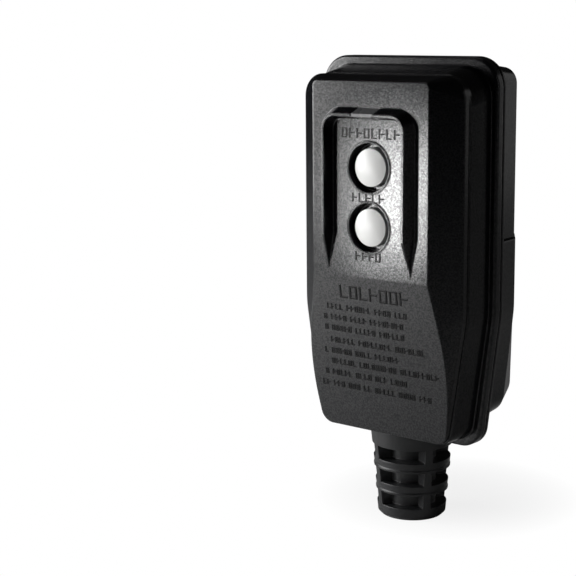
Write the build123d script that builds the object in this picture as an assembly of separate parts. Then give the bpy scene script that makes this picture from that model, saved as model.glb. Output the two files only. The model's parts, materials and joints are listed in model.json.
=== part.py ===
from build123d import *
import math
import os

# A three-blade plug with a built-in residual current device, wired by its user.
# X is to the right seen from the button side, Y points into the wall outlet, and
# Z runs up the long side. The origin lies on the back face, midway between the two
# flat blades. All sizes are in millimetres.

# Clearances
overrun = 5.0                 # how far a cutting body runs past what it cuts
seat_gap = 0.05               # between pieces that rest on each other
running_gap = 0.06            # radial, between a shaft and its hole
loose_gap = 0.15              # between moulded pieces that are only located

# Outline of the body seen from the front
rim_half = 28.0
rim_top = 28.2
rim_foot = 74.0
rim_foot_half = 23.4
taper_start = 38.0            # below this the long sides draw in
rim_top_radius = 8.0
rim_bend_radius = 30.0
rim_foot_radius = 6.0
face_foot_radius = 3.6         # of the front block's two lower corners
face_corner = 1.4             # of the face's two upper corners

# Depths, measured from the back face towards the buttons
rear_wall_depth = 17.2        # where the rear shells meet the rim
rim_rear_depth = 18.6
gasket_thickness = 0.5
rim_front_depth = 21.6
shoulder_depth = 30.2
cap_rise = 2.2                # from the shoulder to the face block's edge
face_rise = 5.6               # from there to the face
edge_softness = 0.7

# Front cover
front_wall = 2.0
rim_to_wall = 1.7             # width of the rim in front of the side walls
wall_draft = 0.5
top_draft = 2.45              # the top wall leans further than the sides
foot_draft = 0.7              # how much more the side walls lean at the foot
cap_step = 0.35               # small step between the side wall and the face block
facet_width = 7.0             # slanted band along each long side of the face
facet_spread = 8.6            # how much narrower the band would be at the foot
top_facet = 1.5
kink_height = 28.6            # below this the face leans back
kink_angle = 8.5
lip_overlap = 1.2

# Button guard, an inverted U standing on the face
guard_height = 3.2
guard_half = 14.45
guard_top = 15.45
guard_base_width = 2.8
guard_draft = 0.7             # how far its inner wall leans
guard_outer_draft = 1.3       # how far its outer wall leans
guard_corner = 4.2
guard_leg_end = 17.8
guard_ramp_foot = 27.6
guard_tip_across = 13.3       # of the point that a leg's end runs to
guard_tip_share = 0.12        # of a leg's section that is left at that point

# Buttons and their wells
reset_height = 0.2
button_spacing = 15.5
well_radius = 6.4
well_lip = 0.45
well_lip_height = 0.25
well_depth = 3.2
well_floor = 1.6
guide_wall = 1.4
guide_length = 2.4
button_radius = 4.9
dome_radius = 13.0
button_edge_sink = 0.6        # of the dome's edge below the face
button_flange_reach = 0.8
button_flange_thickness = 1.0
stem_radius = 1.6
neck_radius = 1.2
latch_head_radius = 1.9
latch_head_length = 1.3
latch_head_depth = 17.3

# Indicator lens
lens_half = 3.3
lens_tail_half = 2.6
lens_tail_height = 1.8
lens_to_lamp = 0.55
lamp_radius = 1.5
lamp_flange_radius = 1.8
lamp_flange = 0.8
lamp_length = 4.4

# Rear shells
rear_wall = 2.0
rear_inset = 2.0              # from the rim to the rear side walls
chamfer_depth = 8.0
chamfer_inset = 2.9
back_inset = 8.1
back_top_inset = 5.4
chamfer_top_inset = 3.0
chamfer_hollow_share = 0.33   # of the wall, by which the hollow's edge lies further in
rear_foot_inset = 3.2
chamfer_foot_inset = 6.5
chamfer_foot_spread = 1.3
back_foot_inset = 8.0
back_foot_spread = 3.9        # the back edge hardly draws in
rear_corner_radius = 4.2
back_corner_radius = 2.6
seam_height = 18.9
seam_gap = 0.4
cover_widening = 0.4          # the wiring cover stands out past the housing's sides
partition_thickness = 1.6
tray_foot = 46.6

# Screws and their recesses: across and up from the origin
recess_radius = 3.6
recess_wall = 1.2
recess_depth = 8.4
top_screw_across = 18.0
top_screw_height = 17.5
seam_screw_across = 18.4
seam_screw_drop = 28.2
foot_screw_across = 12.6
foot_screw_drop = 56.5
boss_radius = 3.1
screw_radius = 1.5
screw_head_radius = 2.8
screw_head_height = 2.0
head_round_share = 0.33       # of the head's height that its rim is rounded by
screw_length = 17.0
drive_width = 0.8
drive_depth = 1.1
drive_length = 3.8

# Blades and ground pin
blade_width = 6.35
blade_thickness = 1.52
blade_spacing = 12.7
blade_length = 17.3
blade_tip_taper = 1.8
blade_hole_radius = 1.98
blade_hole_from_tip = 5.6
blade_tail = 9.0
pin_radius = 2.38
pin_length = 21.4
pin_drop = 11.9
pin_root_radius = 1.95        # where it passes through the wall
pin_root_reach = 0.85         # how far that part stands out of the back face
pin_flange_radius = 3.6
pin_flange = 2.4
blade_pad = 1.0               # raised moulding round each blade on the back face
blade_pad_height = 0.35

# Circuit board
board_depth = 23.2            # depth of the board's button side
board_thickness = 1.6
board_half = 19.0
board_top = 19.6
board_foot = 46.2
board_corner = 2.0
post_radius = 2.3
upper_post_across = 9.6
upper_post_height = 17.2
lower_post_across = 13.4
lower_post_drop = 43.2
board_screw_radius = 1.1
board_screw_head = 2.1
board_screw_head_height = 1.3
board_screw_length = 5.6

# Springs
spring_wire = 0.3
reset_spring_radius = 3.1
reset_spring_turns = 4
trip_spring_radius = 2.85
trip_spring_turns = 3
plunger_spring_radius = 1.55
plunger_spring_turns = 4

# Contacts and their carrier
carrier_half = 12.0
carrier_height = 4.0          # half of its height, round the stem
arm_height = 2.9              # half of its height, out at the arms
carrier_centre_half = 7.0
carrier_front_depth = 19.6
carrier_back_depth = 17.0
carrier_bore = 2.25
spring_pocket = 3.3
spring_pocket_depth = 18.0
bridge_across = 9.7
bridge_half = 1.15
bridge_length = 6.3           # half of its length
bridge_thickness = 0.6
contact_drop = 5.0            # of each contact, above or below the stem
contact_radius = 1.2
contact_height = 0.4
fixed_contact_depth = 19.25
contact_plate = 0.4

# Carrier guide
guide_inner = 3.9
guide_outer = 6.3
guide_post = 1.3
guide_roof_depth = 14.2
guide_roof = 1.0

# Latch and solenoid
latch_travel = 1.2
latch_half = 3.5
latch_top = 7.6
latch_thickness = 0.7
latch_slot = 2.1
coil_depth = 16.5             # depth of the coil's axis
coil_inner = 2.75
coil_outer = 4.1
coil_bottom = 9.2
coil_top = 19.0
bobbin_flange = 0.6
bobbin_bore = 2.0
frame_steel = 0.8
frame_half = 4.4
plunger_radius = 1.9
push_pin_radius = 0.8
push_pin_top = 12.2
plunger_top = 17.8

# Bus bars and leads
strip_thickness = 0.8
strip_width = 1.8
strip_lift_share = 1.5        # of a strip's thickness between its return and the ring
line_strip_depth = 5.2
lead_across = 1.9
lead_width = 1.5
lead_to_rings = 0.6

# Sensing rings
ring_drop = 34.6
ring_outer = 7.2
ring_inner = 4.0
ring_thickness = 3.3
ring_gap = 0.3
winding_cover = 0.7
winding_span = 70.0           # degrees

# Electronic pieces on the board
varistor_across = 13.2
varistor_height = 7.0
varistor_radius = 4.4
varistor_thickness = 3.6
film_across = 12.8
film_height = 4.0
film_width = 4.6
film_length = 8.6
film_rise = 6.4
can_across = 12.2
can_drop = 9.6
can_radius = 3.0
can_rise = 7.2
chip_across = 12.0
chip_drop = 8.6
chip_width = 4.0
chip_length = 5.0
chip_rise = 1.5
thyristor_across = 11.6
thyristor_drop = 18.8
thyristor_width = 4.4
thyristor_thickness = 3.4
thyristor_rise = 4.6
resistor_across = 9.0
resistor_drop = 22.4
resistor_pitch = 2.6
resistor_radius = 1.0
resistor_length = 5.0
resistor_count = 3
leaf_width = 3.0
leaf_thickness = 0.4
leaf_length = 8.0
leaf_rise = 2.2

# Wiring compartment
terminal_across = 12.4
terminal_drop = 38.0
terminal_width = 7.4
terminal_height = 8.6
terminal_depth = 6.6
terminal_screw_head = 2.5
terminal_screw_head_height = 1.5
terminal_screw_shank = 3.9
wire_hole = 1.5
wire_hole_rise = 3.0          # of its axis above the terminal's floor
clamp_drop = 49.0
clamp_half_height = 2.8
clamp_half = 10.4
clamp_thickness = 3.2
clamp_depth = 11.0
clamp_screw_across = 8.0
clamp_screw_radius = 1.4
clamp_screw_head = 2.3
clamp_screw_head_height = 1.4
clamp_screw_length = 9.0
cord_radius = 4.4

# Strain relief boot
boot_depth = 18.1             # depth of its axis
nose_radius = 11.8
nose_top = 63.0
nose_foot = 72.0
boot_neck_radius = 7.4
neck_top = 70.6
boot_flange_radius = 9.0
boot_flange = 2.0
boot_foot = 96.7
collar_radius = 11.5
boot_foot_radius = 9.3
boot_core_radius = 6.6
boot_skin = 1.7
boot_notch = 0.25
notch_share = 0.3             # of the notch that is left at its lower edge
window_top = 76.5
window_height = 3.8
window_pitch = 6.5
window_count = 3
rib_count = 4
rib_width = 2.3
rib_turn = 61.0               # degrees from the front of the plug to the first rib

# Label on the top end
label_half = 14.0
label_rear_depth = 1.9
label_front_depth = 12.0
label_thickness = 0.15

# Worked out from the sizes above
cap_depth = shoulder_depth + cap_rise
face_depth = cap_depth + face_rise
button_edge_depth = face_depth - button_edge_sink
lens_depth = board_depth + seat_gap + lamp_length + lens_to_lamp
rings_front_depth = board_depth + 2 * (ring_gap + ring_thickness)
lead_front_depth = rings_front_depth + lead_to_rings + strip_thickness
test_height = reset_height - button_spacing
button_heights = {"reset": reset_height, "test": test_height}
gasket_front_depth = rim_rear_depth + gasket_thickness
board_back_depth = board_depth - board_thickness
well_floor_depth = face_depth - well_depth
guide_end_depth = well_floor_depth - well_floor - guide_length
flange_front_depth = guide_end_depth - seat_gap
flange_back_depth = flange_front_depth - button_flange_thickness
screw_places = {
    "top": (top_screw_across, top_screw_height),
    "seam": (seam_screw_across, -seam_screw_drop),
    "foot": (foot_screw_across, -foot_screw_drop),
}
post_places = {
    "upper": (upper_post_across, upper_post_height),
    "lower": (lower_post_across, -lower_post_drop),
}
both_sides = (-1, 1)


def at_depth(depth):
    """A plane square to Y at this depth, whose sketch reads X across and Z up."""
    return Plane.XZ.offset(depth)


def rod(x, z, radius, front, back):
    """A round bar along Y between two depths."""
    sketch = at_depth(back) * Pos(x, z) * Circle(radius)
    return extrude(sketch, front - back)


def upright(x, depth, radius, low, high):
    """A round bar along Z between two heights."""
    sketch = Plane.XY.offset(low) * Pos(x, -depth) * Circle(radius)
    return extrude(sketch, high - low)


def block(x_low, x_high, front, back, z_low, z_high):
    """A box between two corners, given by its depths."""
    size = (x_high - x_low, front - back, z_high - z_low)
    centre = ((x_low + x_high) / 2, -(front + back) / 2, (z_low + z_high) / 2)
    return Pos(*centre) * Box(*size)


def mirrored(solid):
    """The solid and its mirror image across the middle plane."""
    return solid + mirror(solid, about=Plane.YZ)


def outline(depth, half, top, foot_half, foot, top_radius, foot_radius):
    """The body's outline at one depth: straight sides that draw in towards the foot."""
    corners = [
        (half, top), (half, -taper_start), (foot_half, -foot),
        (-foot_half, -foot), (-half, -taper_start), (-half, top),
    ]
    radii = [top_radius, rim_bend_radius, foot_radius, foot_radius, rim_bend_radius, top_radius]
    wire = FilletPolyline(*corners, radius=radii, close=True)
    return at_depth(depth) * make_face(wire)


def inset_outline(depth, inset, side=0.0, top=0.0, foot=0.0, top_radius=rim_top_radius,
                  foot_radius=rim_foot_radius, spread=0.0):
    """The rim's outline drawn in by an inset, and by more at the sides, top or foot.

    The spread makes the foot wider again."""
    shrink = inset + side
    return outline(
        depth, rim_half - shrink, rim_top - inset - top, rim_foot_half - shrink + spread,
        rim_foot - inset - foot, top_radius, foot_radius,
    )


def front_form(inset, wall_cut):
    """The front cover's outer form, or with a wall's thickness cut in, its hollow."""
    side = rim_to_wall + inset
    foot_depth = gasket_front_depth - wall_cut
    wall_foot = inset_outline(foot_depth, side)
    wall_head = inset_outline(shoulder_depth, side, wall_draft, top_draft, wall_draft,
                              foot_radius=face_foot_radius, spread=-foot_draft)
    form = loft([wall_foot, wall_head], ruled=True)
    step_side = wall_draft + cap_step
    step_top = top_draft + cap_step
    soft = rim_top_radius - rim_to_wall - cap_step
    foot = face_foot_radius
    cap_foot = inset_outline(shoulder_depth - edge_softness, side, step_side, step_top, step_side, soft, foot,
                             -foot_draft)
    cap_head = inset_outline(cap_depth - inset, side, step_side, step_top, step_side, soft, foot, -foot_draft)
    form += loft([cap_foot, cap_head], ruled=True)
    face_side = step_side + facet_width
    face_top = step_top + top_facet
    face_foot = step_side + top_facet
    face = inset_outline(face_depth - inset, side, face_side, face_top, face_foot, face_corner, foot,
                         facet_spread)
    form += loft([cap_head, face], ruled=True)
    return form - lean_cut(inset)


def lean_cut(inset):
    """What is cut away in front of the leaning lower half of the face."""
    drop = rim_foot + overrun - kink_height
    lean = drop * math.tan(math.radians(kink_angle))
    near = face_depth - inset
    profile = Plane.YZ * make_face(Polyline(
        (-near, -kink_height), (-near + lean, -kink_height - drop),
        (-near - overrun, -kink_height - drop), (-near - overrun, -kink_height), close=True,
    ))
    return extrude(profile, rim_half + overrun, both=True)


def guard_arch(depth, half, top, corner):
    """A closed arch shape at one depth, as tall as the guard and open past its feet."""
    foot = -guard_ramp_foot - overrun
    points = [(half, foot), (half, top), (-half, top), (-half, foot)]
    wire = FilletPolyline(*points, radius=[0, corner, corner, 0], close=True)
    return at_depth(depth) * make_face(wire)


def guard_form():
    """The inverted U round the buttons, with a pointed end on each leg."""
    crest_depth = face_depth + guard_height
    root_depth = face_depth - edge_softness
    stretch = (guard_height + edge_softness) / guard_height
    outward = guard_outer_draft * stretch
    inward = guard_draft * stretch
    crest_half = guard_half - guard_outer_draft
    crest_top = guard_top - guard_outer_draft
    outer = loft([
        guard_arch(root_depth, crest_half + outward, crest_top + outward, guard_corner + outward),
        guard_arch(crest_depth, crest_half, crest_top, guard_corner),
    ], ruled=True)
    crest_width = guard_base_width - guard_outer_draft - guard_draft
    hole_half = crest_half - crest_width
    hole_top = crest_top - crest_width
    hole_corner = guard_corner - crest_width
    inner = loft([
        guard_arch(root_depth, hole_half - inward, hole_top - inward, hole_corner - inward),
        guard_arch(crest_depth, hole_half, hole_top, hole_corner),
    ], ruled=True)
    wall = outer - inner - block(-rim_half, rim_half, crest_depth + overrun, root_depth - overrun,
                                 -rim_foot, -guard_leg_end)
    corners = [(crest_half + outward, root_depth), (crest_half, crest_depth),
               (hole_half, crest_depth), (hole_half - inward, root_depth)]
    return wall + mirrored(guard_leg_tip(corners, root_depth))


def guard_leg_tip(corners, root_depth):
    """One pointed leg end: the leg's section, drawn in to a small one inside the face."""
    full = []
    small = []
    for across, depth in corners:
        full.append((across, -depth))
        small.append((guard_tip_across + guard_tip_share * (across - guard_tip_across),
                      -root_depth - guard_tip_share * (depth - root_depth)))
    sections = [
        Plane.XY.offset(-guard_leg_end) * make_face(Polyline(*full, close=True)),
        Plane.XY.offset(-guard_ramp_foot) * make_face(Polyline(*small, close=True)),
    ]
    return loft(sections, ruled=True)


def nose():
    """The round boss at the foot that holds the boot's neck."""
    return upright(0, boot_depth, nose_radius, -nose_foot, -nose_top)


def nose_hollow():
    """The space inside the nose: the neck's bore and the room for the boot's flange."""
    bore = upright(0, boot_depth, boot_neck_radius + seat_gap, -nose_foot - overrun, -nose_top)
    room = upright(0, boot_depth, boot_flange_radius + seat_gap, -neck_top, -nose_top + overrun)
    return bore + room


def collar_notch():
    """Room for the boot's collar where it meets the rim."""
    return upright(0, boot_depth, collar_radius + loose_gap, -rim_foot - overrun, -nose_foot)


def behind(depth):
    """A large block that fills everything from this depth to the outlet side."""
    reach = rim_foot + rim_half
    return block(-reach, reach, depth, -reach, -reach, reach)


def front_cover():
    """The button side of the casing, hollow, with guard, wells, bosses and posts."""
    rim = extrude(inset_outline(gasket_front_depth, 0), rim_front_depth - gasket_front_depth)
    rim = fillet(rim.faces().sort_by(Axis.Y)[0].outer_wire().edges(), edge_softness)
    shell = rim + front_form(0, 0) + (nose() - behind(gasket_front_depth))
    hollow = front_form(front_wall, overrun)
    shell -= hollow
    for height in button_heights.values():
        shell += rod(0, height, well_radius + guide_wall, face_depth - front_wall,
                     well_floor_depth - well_floor)
        shell += rod(0, height, button_radius + guide_wall, well_floor_depth, guide_end_depth)
    shell += guard_form() - hollow
    shell = add_bosses(shell, hollow)
    for height in button_heights.values():
        shell += rod(0, height, well_radius + well_lip, face_depth + well_lip_height, face_depth - front_wall)
        shell -= rod(0, height, well_radius, face_depth + overrun, well_floor_depth)
        bore = button_radius + running_gap
        shell -= rod(0, height, bore, face_depth + overrun, guide_end_depth - overrun)
    shell -= lens_opening()
    return shell - nose_hollow() - collar_notch()


def add_bosses(shell, hollow):
    """Screw bosses, board posts and cord clamp posts, each grown from the inner face."""
    front = face_depth
    columns = []
    for across, height in screw_places.values():
        columns.append((across, height, boss_radius, gasket_front_depth, screw_radius))
    for across, height in post_places.values():
        columns.append((across, height, post_radius, board_depth + seat_gap, board_screw_radius))
    clamp_foot = clamp_depth + clamp_thickness + seat_gap
    columns.append((clamp_screw_across, -clamp_drop, post_radius, clamp_foot, clamp_screw_radius))
    for across, height, radius, end, hole in columns:
        for side in both_sides:
            column = rod(side * across, height, radius, front, end) & hollow
            shell += column
            shell -= rod(side * across, height, hole + seat_gap, column_bottom(height), end - overrun)
    return shell


def column_bottom(height):
    """How deep a column's screw hole goes, kept behind the face at that height."""
    lean = max(0, -height - kink_height) * math.tan(math.radians(kink_angle))
    return face_depth - lean - 2 * front_wall


def lens_opening():
    """The slot for the lens through the guard's top bar and the front wall."""
    low, high = lens_tail_span()
    tail = lens_tail_half + loose_gap
    slot = block(-tail, tail, face_depth + overrun, lens_depth, low - loose_gap, high + loose_gap)
    half = lens_half + loose_gap
    notch = block(-half, half, face_depth + guard_height + overrun, face_depth,
                  guard_bar_low(), guard_top + overrun)
    return slot + notch


def guard_bar_low():
    """A height safely under the guard's top bar and above the reset well."""
    return guard_top - guard_base_width - cap_step


def lens_tail_span():
    """Lowest and highest point of the lens's tail, centred in the bar at half its height."""
    high = guard_top - guard_outer_draft / 2
    low = guard_top - guard_base_width + guard_draft / 2
    middle = (high + low) / 2
    return middle - lens_tail_height / 2, middle + lens_tail_height / 2


def indicator_lens():
    """The clear light pipe: a stretch of the guard's bar with a tail through the wall."""
    head = block(-lens_half, lens_half, face_depth + guard_height, face_depth + seat_gap,
                 guard_bar_low(), guard_top + overrun)
    head &= guard_form()
    low, high = lens_tail_span()
    tail_front = face_depth + guard_height / 2
    tail = block(-lens_tail_half, lens_tail_half, tail_front, lens_depth, low, high)
    return head + tail


def perimeter_gasket():
    """The flat seal between the front cover's rim and the rear shells."""
    sheet = extrude(inset_outline(rim_rear_depth, lip_overlap / 2), gasket_thickness)
    hole = extrude(inset_outline(rim_rear_depth, rim_to_wall + front_wall), gasket_thickness)
    seal = sheet - hole
    for across, height in screw_places.values():
        for side in both_sides:
            seal -= rod(side * across, height, boss_radius + loose_gap, gasket_front_depth, rim_rear_depth)
    return seal - nose_hollow() - collar_notch()


def rear_form(inset, mouth_cut, wider=0.0):
    """The outer form of the two rear shells together, or their hollow."""
    mouth = rear_wall_depth + mouth_cut
    near = inset_outline(mouth, rear_inset + inset, -wider, 0, rear_foot_inset, rear_corner_radius)
    mid_depth = chamfer_depth + inset * chamfer_hollow_share
    middle = inset_outline(mid_depth, chamfer_top_inset + inset, chamfer_inset - chamfer_top_inset - wider, 0,
                           chamfer_foot_inset - chamfer_top_inset, rear_corner_radius,
                           spread=chamfer_foot_spread)
    side = back_inset - back_top_inset - wider
    back = inset_outline(inset, back_top_inset + inset, side, 0, back_foot_inset - back_top_inset,
                         back_corner_radius, spread=back_foot_spread)
    return loft([near, middle], ruled=True) + loft([middle, back], ruled=True)


def upper_half_space():
    """Everything above the seam between the two rear shells."""
    reach = rim_foot + rim_half
    return block(-reach, reach, reach, -reach, -seam_height, reach)


def lower_half_space():
    """Everything below the seam between the two rear shells."""
    reach = rim_foot + rim_half
    return block(-reach, reach, reach, -reach, -reach, -seam_height - seam_gap)


def recess_columns(place, form):
    """The columns round one pair of screw recesses, down to the rim, within the form."""
    across, height = place
    column = rod(across, height, recess_radius + recess_wall, rear_wall_depth, 0)
    return mirrored(column) & form


def recess_cuts(place):
    """The recesses themselves, each with the hole for its screw."""
    across, height = place
    cut = rod(across, height, recess_radius, recess_depth, -overrun)
    cut += rod(across, height, screw_radius + loose_gap, rim_rear_depth + overrun, -overrun)
    return mirrored(cut)


def rear_housing():
    """The blade section with the rim's rear half, the partition and the wiring tray."""
    form = rear_form(0, seat_gap)
    hollow = rear_form(rear_wall, overrun)
    shell = (form - hollow) & upper_half_space()
    partition = block(-rim_half, rim_half, rear_wall_depth, 0,
                      -seam_height, -seam_height + partition_thickness)
    shell += partition & form
    ring = extrude(inset_outline(rear_wall_depth, 0), rim_rear_depth - rear_wall_depth)
    ring = fillet(ring.faces().sort_by(Axis.Y)[-1].outer_wire().edges(), edge_softness)
    ring -= extrude(inset_outline(rear_wall_depth, rim_to_wall + front_wall), rim_rear_depth)
    shell += ring
    tray_outline = extrude(inset_outline(rear_wall_depth, rim_to_wall), rim_rear_depth - rear_wall_depth)
    shell += tray_outline & block(-rim_half, rim_half, rim_rear_depth, rear_wall_depth, -tray_foot,
                                  -seam_height + partition_thickness)
    shell += recess_columns(screw_places["top"], form)
    shell -= recess_cuts(screw_places["top"])
    for name in ("seam", "foot"):
        across, height = screw_places[name]
        shell -= mirrored(rod(across, height, screw_radius + loose_gap, rim_rear_depth + overrun, 0))
    shell += blade_pads()
    shell -= blade_slots()
    shell -= strap_slot()
    shell -= lead_slots()
    return shell - nose_hollow() - collar_notch()


def blade_pads():
    """Thin raised mouldings round the blades on the back face."""
    half_width = blade_width / 2 + blade_pad
    pads = mirrored(block(
        blade_spacing / 2 - blade_thickness / 2 - blade_pad,
        blade_spacing / 2 + blade_thickness / 2 + blade_pad,
        0, -blade_pad_height, -half_width, half_width,
    ))
    return pads + rod(0, -pin_drop, pin_radius + blade_pad, 0, -blade_pad_height)


def blade_slots():
    """The slots that the blades and the pin pass through."""
    half_width = blade_width / 2 + seat_gap
    inner = blade_spacing / 2 - blade_thickness / 2 - seat_gap
    outer = blade_spacing / 2 + blade_thickness / 2 + seat_gap
    slots = mirrored(block(inner, outer, rear_wall + overrun, -overrun, -half_width, half_width))
    return slots + rod(0, -pin_drop, pin_root_radius + seat_gap, rear_wall + overrun, -overrun)


def strap_slot():
    """The slot in the partition for the ground strap."""
    half = strip_width / 2 + loose_gap
    near = strap_depth() + strip_thickness / 2 + loose_gap
    far = strap_depth() - strip_thickness / 2 - loose_gap
    return block(-half, half, near, far, -seam_height - overrun / 2, -seam_height + overrun / 2)


def strap_depth():
    """Depth of the middle of the ground strap."""
    return rear_wall + pin_flange + strip_thickness


def lead_slots():
    """The slots in the tray for the two load leads."""
    half = lead_width / 2 + loose_gap
    top = -lead_return_drop() + strip_thickness / 2 + loose_gap
    low = -lead_return_drop() - strip_thickness / 2 - loose_gap
    return mirrored(block(lead_across - half, lead_across + half, rear_wall_depth + overrun, 0, low, top))


def lead_return_drop():
    """How far down the load leads come back past the sensing rings."""
    return ring_drop + ring_outer + winding_cover + strip_lift_share * strip_thickness


def wiring_cover():
    """The cap over the wiring compartment, with its four screw recesses."""
    form = rear_form(0, 0, cover_widening) + (nose() & behind(rear_wall_depth - seat_gap))
    form &= behind(rear_wall_depth - seat_gap)
    shell = (form - rear_form(rear_wall, overrun)) & lower_half_space()
    lid_edge = block(-rim_half, rim_half, rear_wall_depth - seat_gap, 0,
                     -seam_height - seam_gap - partition_thickness, -seam_height - seam_gap)
    passage = block(-strip_width, strip_width, rear_wall_depth, rear_wall, -seam_height - overrun, 0)
    shell += (lid_edge & form) - passage
    for name in ("seam", "foot"):
        shell += recess_columns(screw_places[name], form & lower_half_space())
        shell -= recess_cuts(screw_places[name])
    return shell - nose_hollow() - collar_notch()


def button(height, stem_end, latch):
    """A domed push button with its retaining flange and stem."""
    body = rod(0, height, button_radius, button_edge_depth, flange_front_depth)
    sink = math.sqrt(dome_radius ** 2 - button_radius ** 2)
    dome = Pos(0, -(button_edge_depth - sink), height) * Sphere(dome_radius)
    dome &= rod(0, height, button_radius, button_edge_depth + dome_radius, button_edge_depth)
    body += dome
    body += rod(0, height, button_radius + button_flange_reach, flange_front_depth, flange_back_depth)
    if latch:
        neck_start = board_back_depth
        body += rod(0, height, stem_radius, flange_back_depth, neck_start)
        body += rod(0, height, neck_radius, neck_start, stem_end + latch_head_length)
        body += rod(0, height, latch_head_radius, stem_end + latch_head_length, stem_end)
    else:
        body += rod(0, height, stem_radius, flange_back_depth, stem_end)
    return body


def coil_spring(radius, wire, length, turns):
    """A coil spring along Z from zero, a little shorter than the room it fills."""
    run = length - 2 * wire
    path = Helix(pitch=run / turns, height=run, radius=radius)
    section = Plane(origin=path @ 0, z_dir=path % 0) * Circle(wire)
    return Pos(0, 0, wire) * sweep(section, path=path, is_frenet=True)


def spring_along_y(radius, length, turns, height, front):
    """A coil spring whose axis points along Y, from a depth towards the back."""
    coil = coil_spring(radius, spring_wire, length, turns)
    return Pos(0, -front, height) * Rot(-90, 0, 0) * coil


def reset_spring():
    """Pushes the reset button back out, between its flange and the board."""
    room = flange_back_depth - board_depth - 2 * seat_gap
    return spring_along_y(reset_spring_radius, room, reset_spring_turns, reset_height,
                          flange_back_depth - seat_gap)


def trip_spring():
    """Pushes the contact carrier open, between the board and its pocket."""
    room = board_back_depth - spring_pocket_depth - 2 * seat_gap
    return spring_along_y(trip_spring_radius, room, trip_spring_turns, reset_height,
                          board_back_depth - seat_gap)


def plunger_spring():
    """Lifts the plunger back into the coil."""
    low = coil_bottom + bobbin_flange
    room = push_pin_top - low - 2 * seat_gap
    coil = coil_spring(plunger_spring_radius, spring_wire / 2, room, plunger_spring_turns)
    return Pos(0, -coil_depth, low + seat_gap) * coil


def circuit_board():
    """The board across the middle of the casing, notched round the screw bosses."""
    sketch = at_depth(board_back_depth) * Pos(0, (board_top - board_foot) / 2) * RectangleRounded(
        2 * board_half, board_top + board_foot, board_corner)
    board = extrude(sketch, board_thickness)
    notch = boss_radius + loose_gap + seat_gap
    for across, height in screw_places.values():
        board -= mirrored(rod(across, height, notch, board_depth + overrun, 0))
    for across, height in post_places.values():
        board -= mirrored(rod(across, height, board_screw_radius + seat_gap, board_depth + overrun, 0))
    board -= rod(0, reset_height, stem_radius + loose_gap, board_depth + overrun, 0)
    half = lead_width / 2 + seat_gap
    for drop in (ring_drop, lead_return_drop()):
        low = -drop - strip_thickness / 2 - seat_gap
        high = -drop + strip_thickness / 2 + seat_gap
        board -= mirrored(block(lead_across - half, lead_across + half, board_depth + overrun, 0, low, high))
    return board


def screw(x, z, head_radius, head_height, shank_radius, length, head_depth):
    """A pan head screw along Y with a straight slot in its head."""
    shank = rod(x, z, shank_radius, head_depth + length, head_depth)
    head = rod(x, z, head_radius, head_depth, head_depth - head_height)
    head = fillet(head.edges().sort_by(Axis.Y)[-1], head_round_share * head_height)
    reach = head_radius * drive_length / (2 * screw_head_radius)
    wide = head_radius * drive_width / (2 * screw_head_radius)
    deep = head_height * drive_depth / screw_head_height
    outer_end = head_depth - head_height
    slot = block(x - reach, x + reach, outer_end + deep, outer_end - overrun, z - wide, z + wide)
    cross = block(x - wide, x + wide, outer_end + deep, outer_end - overrun, z - reach, z + reach)
    return head + shank - slot - cross


def casing_screws(names):
    """The casing screws at the named pairs of places."""
    screws = []
    for name in names:
        across, height = screw_places[name]
        for side in both_sides:
            screws.append(screw(side * across, height, screw_head_radius, screw_head_height, screw_radius,
                                screw_length, recess_depth - seat_gap))
    return Compound(children=screws)


def board_screws():
    """Four small screws that hold the board on its posts."""
    screws = []
    for across, height in post_places.values():
        for side in both_sides:
            screws.append(screw(side * across, height, board_screw_head, board_screw_head_height,
                                board_screw_radius, board_screw_length, board_back_depth - seat_gap))
    return Compound(children=screws)


def flat_blade(side):
    """A flat blade with a hole, a tapered tip and a tail inside the housing."""
    middle = side * blade_spacing / 2
    half = blade_thickness / 2
    body = block(middle - half, middle + half, blade_tail, -blade_length, -blade_width / 2, blade_width / 2)
    body = taper_tip(body, middle)
    hole_depth = -(blade_length - blade_hole_from_tip)
    hole = Pos(middle, -hole_depth, 0) * Rot(0, 90, 0) * Cylinder(blade_hole_radius, 2 * overrun)
    return body - hole


def taper_tip(body, middle):
    """Draws in a blade's corners and faces towards its tip."""
    half = blade_thickness / 2
    half_width = blade_width / 2
    reach = half_width + overrun
    start = blade_length - blade_tip_taper
    corner = Plane.YZ * make_face(Polyline(
        (start, half_width), (blade_length, half_width - blade_tip_taper),
        (blade_length + overrun, half_width - blade_tip_taper), (blade_length + overrun, reach),
        (start, reach), close=True,
    ))
    cut = Pos(middle, 0, 0) * extrude(corner, overrun, both=True)
    body -= cut
    body -= mirror(cut, about=Plane.XY)
    edge = Plane.XY * make_face(Polyline(
        (half, start), (half / 2, blade_length), (half / 2, blade_length + overrun),
        (half + overrun, blade_length + overrun), (half + overrun, start), close=True,
    ))
    face_cut = extrude(edge, reach, both=True)
    body -= Pos(middle, 0, 0) * face_cut
    body -= Pos(middle, 0, 0) * mirror(face_cut, about=Plane.YZ)
    return body


def ground_pin():
    """The round earth pin with its domed tip and the flange behind the wall."""
    straight = pin_length - pin_radius
    pin = rod(0, -pin_drop, pin_radius, -pin_root_reach, -straight)
    pin += rod(0, -pin_drop, pin_root_radius, rear_wall + seat_gap + pin_flange, -pin_root_reach)
    pin += Pos(0, straight, -pin_drop) * Sphere(pin_radius)
    pin += rod(0, -pin_drop, pin_flange_radius, rear_wall + seat_gap + pin_flange, rear_wall + seat_gap)
    return pin


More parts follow.
